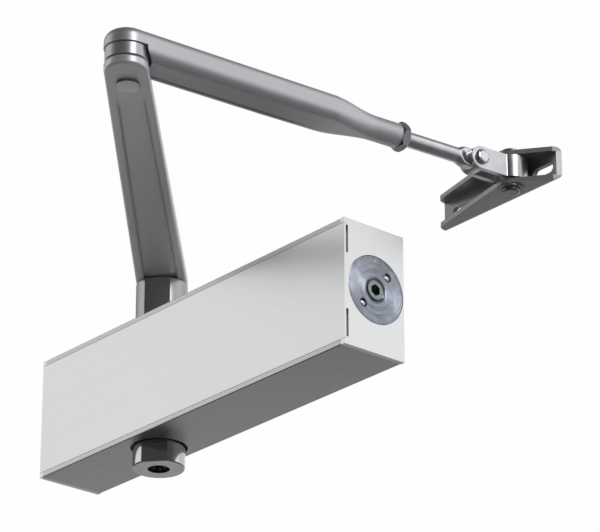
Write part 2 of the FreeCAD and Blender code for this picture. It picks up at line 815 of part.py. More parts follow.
def bearing_cap(side):
    """The threaded ring over a bearing, with a seal pocket and two spanner notches."""
    low, high = sorted((side * cap_floor, side * opening_floor))
    cap = ring(cap_radius - fit_gap, journal_radius + face_gap, low, high, spindle_x, axis_y)
    pocket_floor = side * (cap_floor + seal_thickness + fit_gap)
    pocket = spindle_post(seal_radius + fit_gap, *sorted((side * (cap_floor - margin), pocket_floor)))
    notch_z = sorted((side * (opening_floor - cap_thickness / 4), side * (opening_floor + margin)))
    reach = cap_radius + margin
    notches = box((spindle_x - reach, spindle_x + reach),
                  (axis_y - cap_notch_width / 2, axis_y + cap_notch_width / 2), notch_z)
    return cap.cut([pocket, notches.cut(spindle_post(seal_radius, *notch_z))])


def spindle_seals():
    """Lip seals round the journals, under the bearing caps."""
    seals = []
    for side in (-1, 1):
        low, high = sorted((side * (cap_floor + fit_gap), side * (cap_floor + seal_thickness)))
        seals.append(ring(seal_radius, journal_radius + fit_gap, low, high, spindle_x, axis_y))
    return seals


def valve_screw(side):
    """An oil valve's screw with a cone tip, an O-ring groove and a hexagon socket."""
    z = side * valve_height
    head = -block_end + face_gap
    body_end = -block_end + valve_length
    body = shaft(valve_radius, head, body_end, z=z)
    tip = Part.makeCone(valve_radius, channel_radius / 2, valve_tip_length - face_gap, Vector(body_end, axis_y, z), X)
    groove = shaft_ring(valve_radius + margin, valve_radius - channel_radius, *valve_groove(), z=z)
    socket = hexagon(valve_socket_size, valve_length / 3 + margin, Vector(head - margin, axis_y, z), X)
    return body.fuse(tip).cut([groove, socket])


def valve_groove():
    """The stretch of a valve screw that its O-ring fills."""
    start = -block_end + valve_length * 0.55
    return (start, start + 2 * channel_radius)


def valve_seals():
    """The valve screws' O-rings."""
    low, high = valve_groove()
    seals = []
    for side in (-1, 1):
        inner = valve_radius - channel_radius + fit_gap
        seals.append(shaft_ring(valve_radius + fit_gap, inner, low + fit_gap, high - fit_gap, z=side * valve_height))
    return seals


# Main arm and elbow
def main_arm():
    """A flat tapered bar with a square eye, a shallow panel and a lug beneath, and a blind pin seat."""
    bar = tapered_bar(arm_hub_radius, arm_knuckle_radius, main_arm_length, arm_underside, arm_top)
    bar = bar.makeFillet(arm_edge_radius, edges_at(bar, arm_underside) + edges_at(bar, arm_top))
    hub = post(arm_hub_radius - arm_edge_radius, arm_underside + arm_edge_radius, hub_top)
    hub = hub.makeChamfer(boss_chamfer, edges_at(hub, hub_top))
    panel_length = main_arm_length - panel_end_inset - panel_knuckle_radius - panel_start
    panel = tapered_bar(panel_hub_radius, panel_knuckle_radius, panel_length,
                        arm_underside - margin, arm_underside + panel_depth, panel_start)
    seat = post(elbow_pin_radius + fit_gap, arm_top - elbow_pin_seat_depth, arm_top + margin, main_arm_length)
    arm = in_main_arm_place(bar.fuse([hub, pressed_lug()]).cut([panel, seat]).removeSplitter())
    return arm.cut(square_post(tenon_size + 2 * fit_gap, arm_underside - margin, hub_top + margin))


def pressed_lug():
    """A lug pressed out of the arm's underside: steep towards the elbow, running out towards the hub."""
    half = lug_width / 2
    steep_end = main_arm_length - lug_inset
    outline = tapered_bar(half, half + fit_gap, lug_length - 2 * half, arm_underside - 2 * lug_height,
                          arm_underside + margin, steep_end - lug_length + half)
    sweep_radius = lug_length ** 2 / (2 * lug_height)
    centre = Vector(steep_end, -lug_width, arm_underside - lug_height + sweep_radius)
    return outline.common(Part.makeCylinder(sweep_radius, 2 * lug_width, centre, Y))


def arm_washer():
    """The washer under the arm screw's head."""
    return ring(arm_washer_radius, arm_screw_radius + face_gap, hub_top, hub_top + arm_washer_thickness,
                spindle_x, axis_y)


def arm_screw():
    """The screw that draws arm, upper boss and spindle together."""
    seat = hub_top + arm_washer_thickness
    shank = spindle_post(arm_screw_radius, square_end - arm_screw_engagement, seat)
    head = chamfered_hexagon(arm_screw_head_size, arm_screw_head_height, Vector(spindle_x, axis_y, seat), Z)
    return shank.fuse(head).removeSplitter()


def elbow_pin():
    """The pin pressed into the main arm, with its head over the forearm's ear."""
    seat = arm_top - elbow_pin_seat_depth + fit_gap
    top = ear_crown + elbow_pin_head_height
    shank = post(elbow_pin_radius, seat, top, elbow_x, elbow_y)
    head = post(elbow_pin_head_radius, ear_crown + fit_gap, top, elbow_x, elbow_y)
    return shank.fuse(head.makeFillet(elbow_pin_head_height / 2, edges_at(head, top))).removeSplitter()


def elbow_spacer():
    """The bright ring between the main arm and the forearm's ear."""
    spacer = ring(elbow_spacer_radius, elbow_pin_radius + running_gap, spacer_bottom, spacer_top, elbow_x, elbow_y)
    rims = [edge for edge in edges_at(spacer, spacer_bottom) + edges_at(spacer, spacer_top)
            if edge.BoundBox.XLength > elbow_spacer_radius]
    return spacer.makeChamfer(elbow_washer_thickness, rims)


def elbow_washers():
    """Thin washers above and below the spacer, whose recess shows as two dark lines."""
    washers = []
    for low in (arm_top, spacer_top):
        high = low + elbow_washer_thickness
        washers.append(ring(elbow_washer_radius, elbow_pin_radius + running_gap, low, high, elbow_x, elbow_y))
    return washers


# Forearm, rod and nut
def forearm():
    """A bar of rounded section that ends in an ear at the elbow and a round socket for the rod."""
    half = forearm_height / 2
    near = rounded_section(2 * ear_radius, forearm_height + ear_rise, ear_corner, 0, ear_rise / 2)
    far = rounded_section(2 * ear_radius, forearm_height, forearm_corner, forearm_straight_end)
    bar = Part.makeLoft([near, far], True, True)
    blend = []
    blend_steps = 4
    for k in range(blend_steps + 1):
        share = k / blend_steps
        ease = share * share * (3 - 2 * share)
        full = 2 * forearm_round_radius
        width = 2 * ear_radius + (full - 2 * ear_radius) * ease
        height = forearm_height + (full - forearm_height) * ease
        corner = forearm_corner + (0.98 * forearm_round_radius - forearm_corner) * ease
        x = forearm_straight_end + (forearm_taper_end - forearm_straight_end) * share
        blend.append(rounded_section(width, height, corner, x))
    taper = Part.makeLoft(blend, True, False)
    socket = Part.Face(blend[-1]).extrude(X * (forearm_length - forearm_taper_end))
    ear = post(ear_radius, half - ear_thickness, half + ear_rise)
    ear = ear.makeFillet(ear_corner, edges_at(ear, half + ear_rise))
    below = half - ear_thickness
    solid = bar.fuse([taper, socket, ear, far_lip()])
    tools = [post(elbow_cut_radius, -half - lip_drop - margin, below)]
    tools.append(post(elbow_pin_radius + running_gap, below - margin, half + ear_rise + margin))
    tools.append(Part.makeCylinder(rod_radius + running_gap, forearm_length - rod_bore_start + margin,
                                   Vector(rod_bore_start, 0, 0), X))
    return in_forearm_place(solid.cut(tools).removeSplitter())


def far_lip():
    """The lip along the forearm's far lower edge, which fades before the taper."""
    fade_start = forearm_straight_end - lip_run_out
    stations = ((0, -lip_drop), (fade_start, -lip_drop), (forearm_straight_end, 0))
    sections = [
        rounded_section(2 * ear_radius, forearm_height, forearm_corner, x, lift) for x, lift in stations]
    strip = box((0, forearm_straight_end), (lip_offset, ear_radius + margin),
                (-forearm_height / 2 - lip_drop - margin, 0))
    return Part.makeLoft(sections, True, True).common(strip)


def lock_nut():
    """The nut that locks the rod, against the forearm's end."""
    nut = chamfered_hexagon(nut_size, nut_length, Vector(forearm_length, 0, 0), X)
    nut.rotate(Vector(0, 0, 0), X, nut_turn)
    hole = Part.makeCylinder(rod_radius + running_gap, nut_length + 2 * margin,
                             Vector(forearm_length - margin, 0, 0), X)
    return in_forearm_place(nut.cut(hole))


def adjusting_rod():
    """The rod that sets the forearm's length, flattened to an eye at its end."""
    rod = Part.makeCylinder(rod_radius, flare_start - rod_start, Vector(rod_start, 0, 0), X)
    rod = rod.makeChamfer(margin / 2, [edge for edge in rod.Edges if edge.BoundBox.XMax < rod_start + fit_gap])
    flare_steps = 3
    sections = []
    for k in range(flare_steps + 1):
        share = k / flare_steps
        ease = share * share * (3 - 2 * share)
        width = 2 * rod_radius + (eye_thickness - 2 * rod_radius) * ease
        height = 2 * rod_radius + (2 * eye_radius * 0.86 - 2 * rod_radius) * ease
        corner = 0.98 * rod_radius + (eye_thickness / 5 - 0.98 * rod_radius) * ease
        sections.append(rounded_section(width, height, corner, flare_start + flare_length * share))
    flare = Part.makeLoft(sections, True, False)
    flat_length = rivet_distance - eye_radius / 2 - flare_start - flare_length
    flat = Part.Face(sections[-1]).extrude(X * flat_length)
    eye = Part.makeCylinder(eye_radius, eye_thickness, Vector(rivet_distance, -eye_thickness / 2, 0), Y)
    hole = Part.makeCylinder(rivet_radius + running_gap, eye_thickness + 2 * margin,
                             Vector(rivet_distance, -eye_thickness / 2 - margin, 0), Y)
    return in_forearm_place(rod.fuse([flare, flat, eye]).cut(hole).removeSplitter())


# Stirrup and shoe
def stirrup():
    """A strap folded round the shoe pin's bush, its two legs closing on the rod's eye."""
    half = strap_height / 2
    leg_inner = eye_thickness / 2 + strap_gap
    loop_inner = loop_radius - strap_thickness
    pin_x = shoe_pin_distance
    loop = ring(loop_radius, loop_inner, -half, half, pin_x)
    join = pin_x - math.sqrt(loop_inner ** 2 - leg_inner ** 2)
    legs = box((rivet_distance - half, join), (-ear_outer, ear_outer), (-half, half))
    throat = box((rivet_distance - half - margin, pin_x), (-leg_inner, leg_inner), (-half - margin, half + margin))
    hollow = post(loop_inner, -half - margin, half + margin, pin_x)
    strap = loop.fuse(legs).cut([throat, hollow]).removeSplitter()
    bend_x = pin_x - math.sqrt(loop_radius ** 2 - ear_outer ** 2)
    bends = [
        edge for edge in strap.Edges
        if edge.BoundBox.ZLength > half and abs(edge.BoundBox.XMin - bend_x) < fit_gap
        and edge.BoundBox.XLength < fit_gap]
    strap = strap.makeFillet(strap_bend_radius, bends)
    ears = box((rivet_distance, pin_x + loop_radius + margin), (-loop_radius, loop_radius), (-half, half))
    round_ends = Part.makeCylinder(half, 2 * loop_radius, Vector(rivet_distance, -loop_radius, 0), Y)
    strap = strap.common(ears.fuse(round_ends))
    hole = Part.makeCylinder(rivet_radius + fit_gap, 2 * loop_radius, Vector(rivet_distance, -loop_radius, 0), Y)
    return in_forearm_place(strap.cut(hole).removeSplitter())


def eye_rivet():
    """The domed rivet through the stirrup's legs and the rod's eye."""
    solid = Part.makeCylinder(rivet_radius, 2 * ear_outer, Vector(rivet_distance, -ear_outer, 0), Y)
    for side in (-1, 1):
        head = Part.makeCylinder(rivet_head_radius, rivet_head_height, Vector(rivet_distance, side * ear_outer, 0),
                                 Y * side)
        rim = [edge for edge in head.Edges
               if abs(edge.BoundBox.Center.y - side * (ear_outer + rivet_head_height)) < fit_gap]
        head = head.makeFillet(rivet_head_height * 0.9, rim)
        solid = solid.fuse(head)
    return in_forearm_place(solid.removeSplitter())


def shoe_bush():
    """The bush on the shoe pin that the stirrup's loop turns on."""
    half = flange_inner - fit_gap
    return in_shoe_place(ring(bush_radius, shoe_pin_radius + fit_gap, -half, half))


def bulge_tangent(corner, side):
    """Where a straight edge from a corner of the shoe runs on to the bulge about its pin."""
    x, y = corner
    angle = math.atan2(y, x) + side * math.acos(shoe_bulge_radius / math.hypot(x, y))
    return (shoe_bulge_radius * math.cos(angle), shoe_bulge_radius * math.sin(angle))


def shoe_bracket():
    """A folded channel: flat slotted back and two shaped flanges bored for the pin."""
    half = shoe_height / 2
    left_corner = (shoe_left_slant - shoe_left, shoe_back - shoe_left_depth)
    right_corner = (shoe_right - shoe_right_slant, shoe_back - shoe_right_depth)
    outline = [
        (-shoe_left, shoe_back), left_corner, bulge_tangent(left_corner, 1),
        bulge_tangent(right_corner, -1), right_corner, (shoe_right, shoe_back)]
    plan = prism(outline, -half, half)
    for (x, y), radius in ((left_corner, shoe_left_corner), (right_corner, shoe_right_corner)):
        upright = [
            edge for edge in plan.Edges
            if edge.BoundBox.ZLength > half and edge.BoundBox.Center.distanceToPoint(Vector(x, y, 0)) < fit_gap]
        plan = plan.makeFillet(radius, upright)
    plan = plan.fuse(post(shoe_bulge_radius, -half, half)).removeSplitter()
    fold = [
        edge for edge in plan.Edges
        if edge.BoundBox.YMin > shoe_back - fit_gap and edge.BoundBox.XLength > shoe_left]
    plan = plan.makeFillet(shoe_bend_radius, fold)
    hollow = box((-shoe_left - margin, shoe_right + margin),
                 (-shoe_bulge_radius - margin, shoe_back - shoe_thickness), (-flange_inner, flange_inner))
    tools = [hollow, post(shoe_pin_radius + fit_gap, -half - margin, half + margin)]
    depth = (shoe_back - shoe_thickness - margin, shoe_back + margin)
    for middle in (shoe_slot_left, shoe_slot_right):
        run = shoe_slot_length / 2 - shoe_slot_radius
        low, high = (-shoe_slot_drop - shoe_slot_radius, -shoe_slot_drop + shoe_slot_radius)
        tools.append(box((middle - run, middle + run), depth, (low, high)))
        for end in (middle - run, middle + run):
            tools.append(cross_post(shoe_slot_radius, *depth, end, -shoe_slot_drop))
    return in_shoe_place(plan.cut(tools))


def shoe_pin():
    """The pin riveted over at both ends."""
    head_seat = shoe_height / 2 + shoe_washer_thickness
    solid = post(shoe_pin_radius, -head_seat, head_seat)
    for side in (-1, 1):
        low, high = sorted((side * head_seat, side * (head_seat + shoe_pin_head_height)))
        head = post(shoe_pin_head_radius, low, high)
        face = side * (head_seat + shoe_pin_head_height)
        head = head.makeFillet(shoe_pin_head_height * 0.6, edges_at(head, face))
        solid = solid.fuse(head)
    return in_shoe_place(solid.removeSplitter())


def shoe_washers():
    """The washers under the pin's heads."""
    washers = []
    for side in (-1, 1):
        face = side * shoe_height / 2
        low, high = sorted((face, face + side * shoe_washer_thickness))
        washer = ring(shoe_washer_radius, shoe_pin_radius + fit_gap, low, high)
        washers.append(in_shoe_place(washer))
    return washers


os.makedirs("parts", exist_ok=True)
save("closer_body", closer_body())
save("front_plate", front_plate())
save("stud_sockets", stud_sockets())
save("end_plate_right", end_plate(1))
save("end_plate_left", end_plate(-1))
save("end_plug_right", end_plug_right())
save("end_plug_left", end_plug_left())
save("plug_seals", plug_seals())
save("plug_balls", plug_balls())
save("power_screw", power_screw())
save("power_screw_seal", power_screw_seal())
save("spring_seat", spring_seat())
save("main_spring", main_spring())
save("piston", piston())
save("piston_rings", piston_rings())
save("check_ball", check_ball())
save("check_ring", check_ring())
save("pinion_spindle", pinion_spindle())
save("upper_boss", upper_boss())
save("lower_boss", lower_boss())
for side, place in ((1, "upper"), (-1, "lower")):
    save(f"{place}_bearing", bearing(side))
    save(f"{place}_bearing_cap", bearing_cap(side))
save("spindle_seals", spindle_seals())
save("closing_valve_screw", valve_screw(1))
save("latching_valve_screw", valve_screw(-1))
save("valve_seals", valve_seals())
save("main_arm", main_arm())
save("arm_washer", arm_washer())
save("arm_screw", arm_screw())
save("elbow_pin", elbow_pin())
save("elbow_spacer", elbow_spacer())
save("elbow_washers", elbow_washers())
save("forearm", forearm())
save("lock_nut", lock_nut())
save("adjusting_rod", adjusting_rod())
save("stirrup", stirrup())
save("eye_rivet", eye_rivet())
save("shoe_bush", shoe_bush())
save("shoe_bracket", shoe_bracket())
save("shoe_pin", shoe_pin())
save("shoe_washers", shoe_washers())
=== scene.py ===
"""The looks of an overhead door closer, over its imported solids.

Metres, in the part's own frame: X runs along the body to the spring end, Y into the door, Z up.
"""
import json
import math

import bpy
import numpy as np
from mathutils import Matrix, Vector

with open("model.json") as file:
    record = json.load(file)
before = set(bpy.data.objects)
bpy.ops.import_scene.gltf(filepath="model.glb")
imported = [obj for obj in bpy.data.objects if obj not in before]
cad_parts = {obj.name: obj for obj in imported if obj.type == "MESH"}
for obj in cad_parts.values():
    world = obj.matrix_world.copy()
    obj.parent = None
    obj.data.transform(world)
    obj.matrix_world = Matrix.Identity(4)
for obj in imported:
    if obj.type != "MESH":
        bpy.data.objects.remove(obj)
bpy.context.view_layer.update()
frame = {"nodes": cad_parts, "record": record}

nodes = frame["nodes"]

# Axes that the finishes turn about: the bore along X, the spindle and the elbow along Z
X, Z = 0, 2
BORE = (0.0, -0.0172, 0.0)
SPINDLE = (-0.043, -0.0172, 0.0)
ELBOW = (0.12577, -0.1705, 0.0)

# Headings of the arms from +X, in degrees
MAIN_ARM_HEADING = -42.25
FOREARM_HEADING = 84.8

# Painted shade on the main arm, in its panel's corners and on its lug. A pair is where a soft edge starts and
# where it is full.
PANEL_HALF_WIDTH = 0.0083  # at the spindle
PANEL_TAPER = 0.01183  # lost per metre along the arm
PANEL_CORNER = (0.0002, 0.0011)  # distance from the corner over which its painted shade goes
PANEL_END = (0.206, 0.196)
LUG_NEAR_END = (0.2060, 0.2070)
LUG_FAR_END = (0.2245, 0.2235)
LUG_SIDE = (0.0054, 0.0051)

# Painted shade on the forearm, in the same terms
FOREARM_UNDERSIDE = (0.0, 0.0, 0.0612)
UNDERSIDE_EDGE = (0.0, -0.001)
LIP_STEP = 0.0052  # from the forearm's middle line
LIP_CORNER = (0.0002, 0.0010)
LIP_START = (0.008, 0.012)
LIP_END = (0.108, 0.085)

# The shoe: the height of its middle, and from there to a flange's inner face
SHOE_MIDDLE = 0.0655
FLANGE_INNER = 0.00595

# Places of outputs on the nodes of the shader trees
GENERATED, NORMAL, OBJECT = 0, 1, 3
CAMERA_RAY, GLOSSY_RAY, THROUGH_RAY = 0, 3, 6
NUMBER, COLOUR, BACKFACING = 1, 2, 6


class Sock:
    """A shader socket with arithmetic: each operator adds one Math node."""

    def __init__(self, tree, socket):
        self.tree = tree
        self.socket = socket

    def math(self, operation, *values):
        return self.tree.node("ShaderNodeMath", {"operation": operation}, *(values or (self,)))

    def __add__(self, other):
        return self.math("ADD", self, other)

    def __sub__(self, other):
        return self.math("SUBTRACT", self, other)

    def __rsub__(self, other):
        return self.math("SUBTRACT", other, self)

    def __mul__(self, other):
        return self.math("MULTIPLY", self, other)

    __radd__ = __add__

    def between(self, low, high):
        """0 at low, 1 at high, and a smooth step from one to the other."""
        smooth = {"interpolation_type": "SMOOTHSTEP"}
        return self.tree.node("ShaderNodeMapRange", smooth, self, low, high, 0.0, 1.0)


class Tree:
    """The shader nodes of one material or of the world."""

    def __init__(self, owner):
        owner.use_nodes = True
        self.graph = owner.node_tree
        self.graph.nodes.clear()

    def node(self, kind, settings, *values, out=0, **named):
        """Adds a node: its settings, then its sockets by order or by name; gives one of its outputs."""
        made = self.graph.nodes.new(kind)
        for key, value in settings.items():
            setattr(made, key, value)
        for place, value in [*enumerate(values), *named.items()]:
            socket = made.inputs[place if isinstance(place, int) else place.replace("_", " ")]
            if isinstance(value, Sock):
                self.graph.links.new(value.socket, socket)
            elif value is not None:
                socket.default_value = value
        return Sock(self, made.outputs[out]) if made.outputs else None

    def vector(self, operation, *values, out=0):
        return self.node("ShaderNodeVectorMath", {"operation": operation}, *values, out=out)

    def dot(self, vector, direction):
        """How far a vector reaches in a direction."""
        return self.vector("DOT_PRODUCT", vector, direction, out=NUMBER)

    def part_of(self, vector, axis):
        """A vector's part along one axis."""
        return self.node("ShaderNodeSeparateXYZ", {}, vector, out=axis)

    def place(self):
        """The point on the piece, in metres."""
        return self.node("ShaderNodeTexCoord", {}, out=OBJECT)

    def mapped(self, scale, centre=(0.0, 0.0, 0.0)):
        """The point, taken from a centre and stretched along each axis."""
        return self.vector("MULTIPLY", self.vector("SUBTRACT", self.place(), centre), scale)

    def noise(self, scales, detail=2.0, roughness=0.5):
        """Noise with so many features per metre along each axis."""
        return self.node("ShaderNodeTexNoise", {}, Vector=self.mapped(scales), Scale=1.0, Detail=detail,
                         Roughness=roughness)

    def grain(self, scale, detail=2.0, roughness=0.5):
        """Noise of the same fineness along every axis."""
        return self.noise((scale, scale, scale), detail, roughness)

    def radius(self, centre, axis):
        """Distance from an axis through a point."""
        scale = [0.0 if k == axis else 1.0 for k in range(3)]
        return self.vector("LENGTH", self.mapped(scale, centre), out=NUMBER)

    def along(self, centre, axis):
        """Height along an axis."""
        return self.part_of(self.vector("SUBTRACT", self.place(), centre), axis)

    def line_noise(self, value, pitch):
        """Noise along one number, as tool marks of a pitch are."""
        return self.node("ShaderNodeTexNoise", {"noise_dimensions": "1D"}, W=value, Scale=1.0 / pitch, Detail=2.0)

    def blend(self, factor, low, high):
        """One colour to another by a factor."""
        colours = [(*c, 1.0) if isinstance(c, tuple) else c for c in (low, high)]
        before_colours = [None] * 5  # the node's sockets for numbers and vectors
        return self.node("ShaderNodeMix", {"data_type": "RGBA"}, factor, *before_colours, *colours, out=COLOUR)

    def end_face(self, axis):
        """1 where a surface looks along an axis, 0 where it runs along it."""
        normal = self.node("ShaderNodeTexCoord", {}, out=NORMAL)
        return self.part_of(normal, axis).math("ABSOLUTE").between(0.6, 0.8)

    def ray(self, kind):
        """1 for rays of one kind."""
        return self.node("ShaderNodeLightPath", {}, out=kind)

    def seen(self):
        """1 for rays from the eye, from a mirroring surface or through glass."""
        return self.ray(CAMERA_RAY) + self.ray(GLOSSY_RAY) + self.ray(THROUGH_RAY)

    def bump(self, height, depth):
        return self.node("ShaderNodeBump", {}, Height=height, Distance=depth, Strength=1.0)

    def clear(self):
        return self.node("ShaderNodeBsdfTransparent", {})

    def mix(self, factor, first, second):
        """The first shader where the factor is 0, the second where it is 1."""
        return self.node("ShaderNodeMixShader", {}, factor, first, second)

    def output(self, shader):
        self.node("ShaderNodeOutputMaterial", {}, shader)

    def surface(self, colour, rough, metal, normal):
        """The finished surface of a piece."""
        self.output(self.node("ShaderNodeBsdfPrincipled", {}, Base_Color=colour, Roughness=rough, Metallic=metal,
                              Normal=normal))


def new_material(name):
    """A material and its empty tree."""
    material = bpy.data.materials.new(name)
    return material, Tree(material)


def shade(colour, amount):
    """A colour made lighter or darker."""
    return tuple(min(1.0, c * amount) for c in colour)


def brushed(name, colour, grain, rough, depth=2e-6, contrast=1.0):
    """Metal brushed one way: long fine streaks and broad faint clouds from the rolling."""
    material, tree = new_material(name)
    streak = tree.noise(grain, detail=3.0)
    cloud = tree.grain(18.0)
    tone = streak * 0.55 + cloud * 0.45
    dark, light = shade(colour, 1.0 - 0.05 * contrast), shade(colour, 1.0 + 0.04 * contrast)
    tint = tree.blend(tone.between(0.3, 0.7), dark, light)
    roughness = rough + (streak - 0.5) * (0.16 * contrast) + (cloud - 0.5) * 0.08
    tree.surface(tint, roughness, 1.0, tree.bump(streak, depth))
    return material


def turned(name, colour, centre, axis, rough, side_rough, pitch=2.4e-4, depth=6e-5, cloud_tint=None):
    """Metal cut on a lathe: ringed end faces about an axis, and smoother sides with fine feed marks."""
    material, tree = new_material(name)
    end = tree.end_face(axis)
    rings = tree.line_noise(tree.radius(centre, axis), pitch)
    feed = tree.line_noise(tree.along(centre, axis), pitch)
    cloud = tree.grain(160.0, detail=3.0)
    marks = feed + (rings - feed) * end
    tint = tree.blend(marks.between(0.25, 0.75), shade(colour, 0.93), shade(colour, 1.05))
    if cloud_tint:
        tint = tree.blend(cloud.between(0.36, 0.66) * 0.75, tint, cloud_tint)
    roughness = side_rough + end * (rough - side_rough) + (cloud - 0.5) * 0.08
    tree.surface(tint, roughness, 1.0, tree.bump(rings * end + feed * 0.04, depth))
    return material


def satin_paint(tree, colour, rough, metal, painted_shade=None):
    """Satin metallic paint: fine flakes that catch the light, faint orange peel and soft clouds.

    Painted shade, where given, is a mask that darkens the paint where shade would fall.
    """
    flakes = tree.grain(2600.0, detail=1.0)
    skin = tree.grain(420.0)
    cloud = tree.grain(26.0)
    tone = flakes * 0.7 + cloud * 0.3
    tint = tree.blend(tone.between(0.35, 0.65), shade(colour, 0.95), shade(colour, 1.05))
    # Painted shade: where the mask is full, the paint goes down to 0.12 of its colour
    if painted_shade is not None:
        tint = tree.blend(painted_shade, tint, shade(colour, 0.12))
    roughness = rough + (flakes - 0.5) * 0.14 + (cloud - 0.5) * 0.06
    tree.surface(tint, roughness, metal, tree.bump(skin + flakes * 0.25, 1.2e-5))


def silver_paint(name, colour, rough, metal):
    """A piece all in satin paint."""
    material, tree = new_material(name)
    satin_paint(tree, colour, rough, metal)
    return material


def painted_arm(name, colour, metal, origin, heading, shade_mask):
    """Paint on an arm, with painted shade where a mask of the place along and across it says."""
    material, tree = new_material(name)
    cosine, sine = math.cos(math.radians(heading)), math.sin(math.radians(heading))
    from_origin = tree.mapped((1.0, 1.0, 1.0), origin)
    along = tree.dot(from_origin, (cosine, sine, 0.0))
    across = tree.dot(from_origin, (-sine, cosine, 0.0))
    satin_paint(tree, colour, 0.41, metal, shade_mask(tree, along, across))
    return material


def panel_painted_shade(tree, along, across):
    """Painted shade in the corner round the main arm's panel, and more on the steep side of its lug."""
    across = across.math("ABSOLUTE")
    edge = PANEL_HALF_WIDTH - along * PANEL_TAPER
    corner = 1.0 - (across - edge).math("ABSOLUTE").between(*PANEL_CORNER)
    lug = along.between(*LUG_FAR_END) * along.between(*LUG_NEAR_END) * across.between(*LUG_SIDE)
    flat = tree.end_face(Z)
    # Painted shade, darkening the paint: a little in the panel's corner on the underside, more on the lug's steep
    # walls
    return corner * along.between(*PANEL_END) * flat * 0.35 + lug * (1.0 - flat) * 0.85


def lip_painted_shade(tree, along, across):
    """Painted shade along the step of the forearm's lip, on its underside."""
    below = tree.along(FOREARM_UNDERSIDE, Z).between(*UNDERSIDE_EDGE)
    step = 1.0 - (across - LIP_STEP).math("ABSOLUTE").between(*LIP_CORNER)
    # Painted shade: a thin darkened line along the lip's step on the underside
    return step * along.between(*LIP_START) * along.between(*LIP_END) * below * 0.45


def folded_sheet(name, colour, rough, middle, flange_inner):
    """Bronzed sheet whose sheared flange edges show paler steel, with painted shade darkening its square ends."""
    sheared_tint, end_shade_tint = (0.50, 0.50, 0.51), (0.21, 0.21, 0.21)
    material, tree = new_material(name)
    grain = tree.grain(2600.0, detail=1.0)
    cloud = tree.grain(90.0, detail=3.0)
    off_middle = (tree.along((0.0, 0.0, 0.0), Z) - middle).math("ABSOLUTE")
    sheared = off_middle.between(flange_inner, flange_inner + 1e-4) * (1.0 - tree.end_face(Z))
    tint = tree.blend(grain * 0.5 + cloud * 0.5, shade(colour, 0.86), shade(colour, 1.08))
    tint = tree.blend(sheared, tint, sheared_tint)
    # Painted shade: faces that look along X, the square ends, are darkened to hold down the key lamp's highlight
    tint = tree.blend(tree.end_face(X), tint, end_shade_tint)
    roughness = rough + (grain - 0.5) * 0.14 + sheared * 0.10
    tree.surface(tint, roughness, 0.8, tree.bump(grain, 3e-6))
    return material


def zinc_plate(name, colour, rough):
    """Bright zinc over steel: a fine matt grain, with patches that the bath left brighter."""
    material, tree = new_material(name)
    grain = tree.grain(1500.0)
    bright = tree.grain(140.0, detail=3.0)
    tint = tree.blend(bright.between(0.35, 0.7), shade(colour, 0.93), shade(colour, 1.05))
    roughness = rough + (grain - 0.5) * 0.12 + (bright - 0.5) * 0.12
    tree.surface(tint, roughness, 1.0, tree.bump(grain, 5e-7))
    return material


def moulded(name, colour, rough):
    """Rubber or plastic with a fine matt grain."""
    material, tree = new_material(name)
    skin = tree.grain(900.0)
    tint = tree.blend(skin.between(0.3, 0.7), shade(colour, 0.9), shade(colour, 1.1))
    tree.surface(tint, rough + (skin - 0.5) * 0.15, 0.0, tree.bump(skin, 6e-6))
    return material


def cast(name, colour, rough):
    """Cast iron with a sandy skin and darker pores."""
    material, tree = new_material(name)
    sand = tree.grain(700.0, detail=4.0, roughness=0.65)
    tint = tree.blend(sand.between(0.35, 0.6), shade(colour, 0.7), shade(colour, 1.08))
    tree.surface(tint, rough + (sand - 0.5) * 0.2, 1.0, tree.bump(sand, 1.5e-5))
    return material


# Finishes by the record's slots. Both arms and the shoe have their own, further down.
finishes = {
    "cast_silver": brushed("body_silver", (0.68, 0.685, 0.70), (3.0, 420.0, 420.0), 0.42),
    "brushed_plate": brushed("plate_brushed", (0.80, 0.80, 0.805), (4.0, 900.0, 900.0), 0.30,
                             depth=6e-7, contrast=0.5),
    "turned_plug": turned("plug_turned", (0.48, 0.51, 0.58), BORE, X, 0.22, 0.20,
                          depth=2.1e-4, cloud_tint=(0.36, 0.39, 0.48)),
    "bright_ball": zinc_plate("ball_polished", (0.90, 0.90, 0.90), 0.10),
    "socket_screw": turned("screw_turned", (0.30, 0.34, 0.33), BORE, X, 0.24, 0.18, pitch=1.6e-4),
    "boss_steel": turned("boss_turned", (0.70, 0.69, 0.71), SPINDLE, Z, 0.20, 0.16, pitch=2.0e-4, depth=2.5e-5),
    "hard_steel": turned("steel_ground", (0.52, 0.52, 0.54), SPINDLE, Z, 0.28, 0.20, pitch=1.2e-4),
    "cast_piston": cast("iron_cast", (0.36, 0.36, 0.37), 0.45),
    "spring_steel": silver_paint("spring_black", (0.10, 0.105, 0.11), 0.35, 0.5),
    "seal_rubber": moulded("rubber_black", (0.03, 0.03, 0.03), 0.55),
    "nylon": moulded("nylon_white", (0.80, 0.79, 0.75), 0.45),
    "valve_brass": turned("brass_turned", (0.78, 0.60, 0.30), BORE, X, 0.28, 0.22),
    "bright_zinc": zinc_plate("zinc_bright", (0.80, 0.80, 0.83), 0.23),
    "strap_steel": zinc_plate("strap_zinc", (0.72, 0.72, 0.74), 0.30),
    "washer_dark": moulded("washer_black", (0.03, 0.03, 0.03), 0.45),
}

